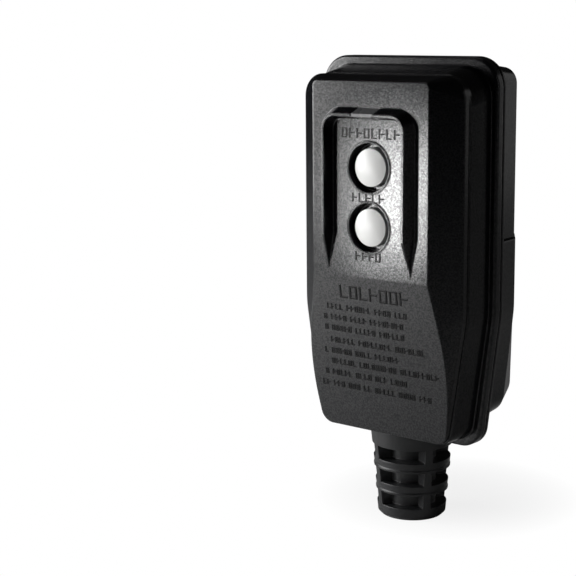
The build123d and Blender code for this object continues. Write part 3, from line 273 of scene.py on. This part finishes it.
# %% Finishes
finish = {
    "casing": moulded("black_casing", (0.0022, 0.0024, 0.0032), (0.0040, 0.0043, 0.0058), (0.17, 0.20),
                      grains=2200.0, depth=0.009, edge=0.6, sparkle=(0.36, 0.68)),
    "boot_rubber": moulded("boot_rubber", (0.009, 0.0095, 0.0105), (0.015, 0.0155, 0.0165), (0.34, 0.5),
                           grains=1500.0, depth=0.02, cloud=120.0, edge=0.4),
    "gasket_rubber": moulded("gasket_rubber", (0.006, 0.006, 0.006), (0.010, 0.010, 0.010), (0.55, 0.7)),
    "button_white": moulded("white_dome", (0.80, 0.80, 0.78), (0.86, 0.86, 0.85), (0.26, 0.36),
                            grains=900.0, depth=0.004),
    "lens_clear": moulded("smoky_lens", (0.10, 0.10, 0.105), (0.16, 0.16, 0.165), (0.22, 0.30),
                          grains=900.0, depth=0.004, Specular_IOR_Level=0.4),
    "blade_metal": metal("nickel_blade", (0.60, 0.56, 0.50), (0.50, 0.45, 0.39), (0.20, 0.34), edge=0.15),
    "contact_brass": metal("stamped_brass", (0.78, 0.55, 0.25), (0.66, 0.44, 0.20), (0.25, 0.42)),
    "contact_silver": metal("silver_contact", (0.82, 0.81, 0.78), (0.70, 0.69, 0.66), (0.22, 0.35)),
    "copper_wire": metal("enamelled_copper", (0.72, 0.34, 0.17), (0.60, 0.26, 0.12), (0.22, 0.34),
                         stretch=1.0, depth=0.03),
    "screw_steel": metal("zinc_screw", (0.55, 0.55, 0.56), (0.42, 0.42, 0.43), (0.26, 0.42), stretch=1.0),
    "spring_steel": metal("spring_wire", (0.60, 0.60, 0.60), (0.48, 0.48, 0.48), (0.20, 0.34), stretch=1.0),
    "soft_steel": metal("soft_steel", (0.46, 0.46, 0.47), (0.36, 0.36, 0.36), (0.30, 0.46), stretch=0.3),
    "board_green": moulded("solder_mask", (0.02, 0.13, 0.05), (0.03, 0.18, 0.08), (0.28, 0.42), depth=0.01),
    "ferrite": moulded("coated_core", (0.05, 0.05, 0.055), (0.07, 0.07, 0.075), (0.45, 0.6)),
    "moulded_white": moulded("inner_white", (0.66, 0.64, 0.58), (0.74, 0.73, 0.68), (0.42, 0.55), depth=0.02),
    "moulded_grey": moulded("inner_grey", (0.22, 0.22, 0.23), (0.28, 0.28, 0.29), (0.45, 0.6), depth=0.03),
    "component_black": moulded("epoxy_case", (0.015, 0.015, 0.015), (0.03, 0.03, 0.03), (0.4, 0.55),
                               depth=0.02),
    "component_blue": moulded("dipped_blue", (0.02, 0.08, 0.30), (0.04, 0.12, 0.38), (0.3, 0.42), depth=0.02),
    "component_yellow": moulded("film_box", (0.62, 0.40, 0.05), (0.70, 0.48, 0.10), (0.3, 0.4), depth=0.01),
    "component_tan": moulded("resistor_coat", (0.52, 0.38, 0.24), (0.60, 0.46, 0.30), (0.35, 0.5),
                             depth=0.01),
    "lamp_green": moulded("lamp_body", (0.08, 0.45, 0.10), (0.12, 0.55, 0.14), (0.1, 0.2), depth=0.004),
    "label_white": moulded("label_stock", (0.74, 0.74, 0.72), (0.80, 0.80, 0.79), (0.4, 0.5), depth=0.006),
}
for part in frame["record"]["subparts"]:
    mesh = frame["nodes"][part["node"]].data
    mesh.materials.clear()
    mesh.materials.append(finish[part["material_slot"]])
print(len(finish), "finishes on", len(frame["nodes"]), "nodes")

# %% [markdown]
# The pieces that are added in this script are built as a bmesh each. One function turns
# a bmesh into an object with its finish. The object stays at the origin, because its
# place is in its mesh.

# %% Piece maker
def finish_mesh(name, bm, material, smooth_angle=35.0):
    """Turns a bmesh into an object with smooth shading up to an angle in degrees."""
    mesh = bpy.data.meshes.new(name)
    bm.to_mesh(mesh)
    bm.free()
    mesh.materials.append(material)
    mesh.shade_smooth()
    mesh.set_sharp_from_angle(angle=math.radians(smooth_angle))
    piece = bpy.data.objects.new(name, mesh)
    bpy.context.scene.collection.objects.link(piece)
    return piece


print("piece maker: finish_mesh")

# %% [markdown]
# The springs and the test leaf are hidden, but a pressed button would run through them.
# Their solids are copied as pieces of their own that ride on the casing, and the CAD
# solids are hidden. They could follow the button, but then they would leave the seat on
# their other end.

# %% Spring copies
y_axis, z_axis = 1, 2
# Each row: node, slot, joint, axis it shortens along, end that stays, joint's travel in millimetres.
springs = [
    ("reset_spring", "spring_steel", "reset_press", y_axis, "high", 2.5),
    ("test_leaf", "contact_brass", "test_press", y_axis, "high", 1.6),
    ("trip_spring", "spring_steel", "contact_close", y_axis, "low", 1.8),
    ("plunger_spring", "spring_steel", "plunger_slide", z_axis, "low", 1.2),
]
for node, slot, joint, along, fixed_end, travel in springs:
    low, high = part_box(node)
    length = high[along] - low[along]
    bm = bmesh.new()
    bm.from_mesh(frame["nodes"][node].data)
    piece = finish_mesh(node + "_live", bm, finish[slot])
    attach(piece, "casing")
    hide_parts(node)
    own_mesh(piece)

# %% [markdown]
# The front has small raised rows round the buttons and on the leaning face under them.
# Here they are generic marks: open frames, strokes and corners that mean nothing. They
# could be a bump, but a bump throws no edge light, so each mark is a tiny solid.

# %% One generic mark
weld = 0.001 * mm


def stroke_box(bm, x, z, width, height):
    """Adds a flat rectangle in the XZ plane, facing the front."""
    made = bmesh.ops.create_grid(bm, x_segments=1, y_segments=1, size=0.5)["verts"]
    bmesh.ops.scale(bm, vec=(width, height, 1.0), verts=made)
    bmesh.ops.rotate(bm, cent=(0, 0, 0), matrix=Matrix.Rotation(math.radians(90), 3, "X"), verts=made)
    bmesh.ops.translate(bm, vec=(x, 0, z), verts=made)


def mark(kind, width, height, stroke, proud):
    """One generic mark as a small solid that stands out along -Y."""
    bm = bmesh.new()
    if kind == "frame":
        stroke_box(bm, 0, 0, width, height)
        ring = bmesh.ops.inset_region(bm, faces=bm.faces[:], thickness=stroke, use_boundary=True,
                                      use_even_offset=True)["faces"]
        bmesh.ops.delete(bm, geom=[f for f in bm.faces if f not in ring], context="FACES")
    else:
        stroke_box(bm, (stroke - width) / 2, 0, stroke, height)
        stroke_box(bm, stroke / 2, (stroke - height) / 2 if kind == "foot" else 0, width - stroke, stroke)
        bmesh.ops.remove_doubles(bm, verts=bm.verts, dist=weld)
    grown = bmesh.ops.extrude_face_region(bm, geom=bm.faces[:])["geom"]
    lifted = [v for v in grown if isinstance(v, bmesh.types.BMVert)]
    bmesh.ops.translate(bm, vec=(0, -proud, 0), verts=lifted)
    bmesh.ops.recalc_face_normals(bm, faces=bm.faces)
    mesh = bpy.data.meshes.new("mark")
    bm.to_mesh(mesh)
    bm.free()
    return mesh


print("marks: frame, foot, middle")

# %% [markdown]
# A row is a left end, a height and the lengths of its groups, in millimetres. Rows could
# be placed by hand, mark by mark, but a seeded choice among the three marks gives the
# same uneven rhythm each time. Every mark is sunk a little, so that it starts in the wall.

# %% Rows of marks
sunk = 0.08
gap_share = 0.7


def set_out(bm, rows, size, pitch, proud, depth_at, seed, tilt=0.0):
    """Adds rows of marks of a width, height and stroke, with a depth for each height."""
    marks = [mark(kind, size[0] * mm, size[1] * mm, size[2] * mm, (proud + sunk) * mm)
             for kind in ("frame", "foot", "middle")]
    choose = random.Random(seed)
    turn = Matrix.Rotation(tilt, 3, "X")
    for left, height, groups in rows:
        x = left
        for count in groups:
            for _ in range(count):
                first = len(bm.verts)
                bm.from_mesh(choose.choice(marks))
                bm.verts.ensure_lookup_table()
                added = bm.verts[first:]
                bmesh.ops.rotate(bm, cent=(0, 0, 0), matrix=turn, verts=added)
                bmesh.ops.translate(bm, vec=(x * mm, (depth_at(height) + sunk) * mm, height * mm),
                                    verts=added)
                x += pitch
            x += pitch * gap_share


print("marks are sunk by", sunk, "mm")

# %% [markdown]
# The front face is upright down to a kink and leans back below it. The marks could be
# projected on it, but its depth is a simple formula of the height, so each row is placed
# by that, and the rows on the leaning part are turned to lie flat on it.

# %% Marks on the front
face_y = -38.0
kink_z = -28.6
lean_angle = math.radians(8.5)
lean = math.tan(lean_angle)


def front_y(z):
    """The front face's Y at a height, in millimetres, with its lean under the kink."""
    return face_y + max(0.0, kink_z - z) * lean


bm = bmesh.new()
top_row = [(-7.9, 9.0, (8,))]
button_rows = [(-4.6, -7.6, (5,)), (-3.5, -22.8, (4,))]
heading_row = [(-8.9, -33.0, (7,))]
small_rows = [
    (-14.4, -37.5, (4, 6, 4, 3)), (-15.8, -40.5, (1, 4, 4, 8)), (-15.8, -43.5, (1, 5, 5, 6)),
    (-14.2, -46.9, (6, 8, 7)), (-16.6, -50.0, (1, 5, 4, 6)), (-14.6, -53.0, (6, 9, 9)),
    (-17.1, -56.2, (1, 5, 4, 3, 4)), (-18.5, -59.5, (2, 3, 3, 2, 5, 4, 3)),
]
set_out(bm, top_row, size=(1.7, 2.6, 0.36), pitch=2.38, proud=0.16, depth_at=front_y, seed=3)
set_out(bm, button_rows, size=(1.6, 2.4, 0.36), pitch=2.15, proud=0.16, depth_at=front_y, seed=5)
set_out(bm, heading_row, size=(2.4, 3.6, 0.42), pitch=3.25, proud=0.20, depth_at=front_y, seed=7,
        tilt=lean_angle)
set_out(bm, small_rows, size=(0.95, 1.6, 0.28), pitch=1.38, proud=0.18, depth_at=front_y, seed=11,
        tilt=lean_angle)
smooth_black = start_material("polished_black", (0.003, 0.003, 0.0033), 0.34, Specular_IOR_Level=0.22)[0]
front_marks = finish_mesh("front_marks", bm, smooth_black, 20.0)
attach(front_marks, "casing")
print("front marks:", len(front_marks.data.polygons), "faces")

# %% [markdown]
# The back has such rows too: a few round the blades and a dense block on the wiring
# cover. They could be set out facing backwards, but the same function serves when the
# finished rows are turned about Z to face the outlet. The back face lies at Y zero.

# %% Marks on the back
bm = bmesh.new()
back_rows = [(-13.0, 17.0, (6, 4, 5)), (-13.0, 13.6, (3, 5)), (3.4, 13.6, (4, 2)), (-12.6, -16.4, (5, 3)),
             (4.6, -16.4, (2, 4))]
cover_left, cover_top, cover_step = -12.4, -26.0, 2.7
cover_groups = [(3, 6, 5), (5, 4, 6), (2, 7, 6), (6, 5, 4), (4, 4, 3, 3), (7, 4, 4), (3, 5, 6), (5, 6, 3),
                (4, 7)]
cover_rows = [(cover_left, cover_top - cover_step * row, groups) for row, groups in enumerate(cover_groups)]
set_out(bm, back_rows + cover_rows, size=(0.95, 1.5, 0.28), pitch=1.42, proud=0.12,
        depth_at=lambda z: 0.0, seed=17)
bmesh.ops.rotate(bm, cent=(0, 0, 0), matrix=Matrix.Rotation(math.pi, 3, "Z"), verts=bm.verts)
back_marks = finish_mesh("back_marks", bm, smooth_black, 20.0)
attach(back_marks, "casing")
print("back marks:", len(back_marks.data.polygons), "faces")

# %% [markdown]
# The label on the top end is blank stock, with grey bars where a printed one has its
# lines. They could be an image, but flat rectangles stay sharp and need no file. The
# label slopes, so the corners of its box give the angle.

# %% Print on the label
label_low, label_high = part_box("end_label")
label_slope = math.atan2(label_high[2] - label_low[2], label_high[1] - label_low[1])
bm = bmesh.new()
line_height, block_height = 0.35, 2.6
print_lift, label_lift = 0.02, 0.075
# Each bar: its middle across and along the label, its width and its height, in millimetres.
bars = [(-8.0, 1.6, 9.0, line_height), (-8.0, 0.6, 7.0, line_height), (-8.0, -0.4, 9.5, line_height),
        (-8.0, -1.4, 6.0, line_height), (5.5, 0.2, 4.0, block_height)]
for x, y, width, height in bars:
    made = bmesh.ops.create_grid(bm, x_segments=1, y_segments=1, size=0.5 * mm)["verts"]
    bmesh.ops.scale(bm, vec=(width, height, 1.0), verts=made)
    bmesh.ops.translate(bm, vec=(x * mm, y * mm, print_lift * mm), verts=made)
bmesh.ops.rotate(bm, cent=(0, 0, 0), matrix=Matrix.Rotation(-label_slope, 3, "X"), verts=bm.verts)
label_middle = [(a + b) / 2 for a, b in zip(label_low, label_high)]
bmesh.ops.translate(bm, vec=(label_middle[0], label_middle[1], label_middle[2] + label_lift * mm),
                    verts=bm.verts)
ink = start_material("grey_print", (0.10, 0.10, 0.11), 0.5)[0]
label_print = finish_mesh("label_print", bm, ink)
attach(label_print, "casing")
print("label slope", round(math.degrees(label_slope), 1), "degrees")

# %% [markdown]
# The camera stands where the photograph was taken from: a little above the plug, to
# its right, with a long lens. It could be aimed by eye, but its place was worked out from
# known sizes on the plug, so that the two pictures can be laid over each other.

# %% Camera
focal_pixels, picture_pixels = 1474.7, 576
camera_place = Vector((227.35, -339.11, 38.04)) * mm
camera_turn, camera_tilt, camera_roll = (math.radians(a) for a in (40.24, 10.36, -0.514))
back = Vector((math.sin(camera_turn) * math.cos(camera_tilt), -math.cos(camera_turn) * math.cos(camera_tilt),
               math.sin(camera_tilt)))
side = Vector((math.cos(camera_turn), math.sin(camera_turn), 0.0))
up = back.cross(side)
right = side * math.cos(camera_roll) + up * math.sin(camera_roll)
over = up * math.cos(camera_roll) - side * math.sin(camera_roll)
camera_data = bpy.data.cameras.new("studio_camera")
camera_data.sensor_width = 36.0
camera_data.lens = focal_pixels / picture_pixels * camera_data.sensor_width
camera_data.clip_start = 0.01
camera_data.clip_end = 20.0
camera = bpy.data.objects.new("studio_camera", camera_data)
camera.matrix_world = Matrix.Translation(camera_place) @ Matrix((right, over, back)).transposed().to_4x4()
bpy.context.scene.collection.objects.link(camera)
bpy.context.scene.camera = camera
print("lens", round(camera_data.lens, 1), "mm")

# %% [markdown]
# The floor is a wide pale plane right under the boot. A veil of white lies over it, more
# than four fifths strong under the plug and full a few centimetres out, and the rest joins
# the white backdrop. The faint shadow left near the plug is partly the real cast shadow and
# partly painted shade: the veil's round fade shows the floor's own dim shading only there.
# More light could whiten the floor too, but it would also fall on the plug. A Light Path
# switch shows the veil to the camera alone.

# %% Floor and backdrop
floor_height = cad_box[0][2]
floor_half = 4.0
# The veil grows with the distance from the origin, which is well above the floor, so its fade is round about
# the plug and leaves a patch of painted shade there over the real cast shadow.
veil_start, painted_shade_edge = 0.062, 0.104
bm = bmesh.new()
bmesh.ops.create_grid(bm, x_segments=8, y_segments=8, size=floor_half)
bmesh.ops.translate(bm, verts=bm.verts, vec=(0, 0, floor_height))
floor_mesh = bpy.data.meshes.new("floor")
bm.to_mesh(floor_mesh)
bm.free()
floor = bpy.data.objects.new("floor", floor_mesh)
bpy.context.scene.collection.objects.link(floor)
paper, tree, shader = start_material("pale_floor", color=(0.82, 0.82, 0.82), roughness=0.6)
place = add_node(tree, "ShaderNodeTexCoord")
length = add_node(tree, "ShaderNodeVectorMath", operation="LENGTH")
# Painted shade: where this fade is weak, a round patch of the floor's own dim shading shows under the plug,
# beside its real cast shadow.
white_veil_and_painted_shade = add_node(tree, "ShaderNodeMapRange", From_Min=veil_start, From_Max=painted_shade_edge)
path = add_node(tree, "ShaderNodeLightPath")
veil = add_node(tree, "ShaderNodeMath", operation="MULTIPLY")
white = add_node(tree, "ShaderNodeEmission", Color=(1, 1, 1, 1), Strength=1.0)
blend = add_node(tree, "ShaderNodeMixShader")
output = tree.nodes["Material Output"]
link(tree, place.outputs["Object"], length.inputs[0])
link(tree, length.outputs["Value"], white_veil_and_painted_shade.inputs["Value"])
link(tree, white_veil_and_painted_shade.outputs["Result"], veil.inputs[0])
link(tree, path.outputs["Is Camera Ray"], veil.inputs[1])
link(tree, veil.outputs["Value"], blend.inputs["Fac"])
link(tree, shader.outputs["BSDF"], blend.inputs[1])
link(tree, white.outputs["Emission"], blend.inputs[2])
link(tree, blend.outputs["Shader"], output.inputs["Surface"])
floor_mesh.materials.append(paper)
print("floor at", round(floor_height, 4))

# %% [markdown]
# Six soft boxes light the plug. The large one in front on the left does most of the work.
# A small one close by draws the tight highlight on the face round the buttons, because a
# large one would spread it. One lights the floor beside the plug, whose reflection lifts
# the low part of the face. A tall narrow one on the right draws the edges, and one above
# and one behind fill in. The world adds a weak even light and shows the camera white.

# %% Lights and world
def soft_box(name, place, target, size, power):
    """A rectangular area light that points at a target."""
    data = bpy.data.lights.new(name, "AREA")
    data.shape = "RECTANGLE"
    data.size, data.size_y = size
    data.energy = power
    light = bpy.data.objects.new(name, data)
    light.location = place
    light.rotation_euler = (Vector(target) - Vector(place)).to_track_quat("-Z", "Y").to_euler()
    bpy.context.scene.collection.objects.link(light)


middle = (0.0, -0.02, -0.03)
button_face = (0.009, -0.038, -0.0065)
floor_beside = (-0.08, -0.14, floor_height)
soft_box("key_box", place=(-0.1365, -0.239, -0.0364), target=button_face, size=(0.015, 0.05), power=0.125)
soft_box("left_box", place=(-0.75, -0.55, 0.08), target=middle, size=(0.5, 0.6), power=5.7)
soft_box("top_box", place=(-0.30, -0.10, 0.80), target=middle, size=(0.5, 0.5), power=0.3)
soft_box("floor_wash", place=(-0.18, -0.13, 0.0), target=floor_beside, size=(0.12, 0.12), power=0.30)
soft_box("edge_strip", place=(0.75, -0.04, 0.05), target=middle, size=(0.06, 0.8), power=0.25)
soft_box("back_panel", place=(0.28, 0.75, 0.10), target=middle, size=(0.5, 0.5), power=0.25)
even_light = 0.012
world = bpy.data.worlds.new("studio")
world.use_nodes = True
bpy.context.scene.world = world
tree = world.node_tree
back_color = tree.nodes["Background"]
path = add_node(tree, "ShaderNodeLightPath")
level = add_node(tree, "ShaderNodeMapRange", To_Min=even_light, To_Max=1.0)
link(tree, path.outputs["Is Camera Ray"], level.inputs["Value"])
link(tree, level.outputs["Result"], back_color.inputs["Strength"])
back_color.inputs["Color"].default_value = (1, 1, 1, 1)
bpy.context.scene.view_settings.view_transform = "Standard"
print(len(bpy.data.lights), "soft boxes and an even world")
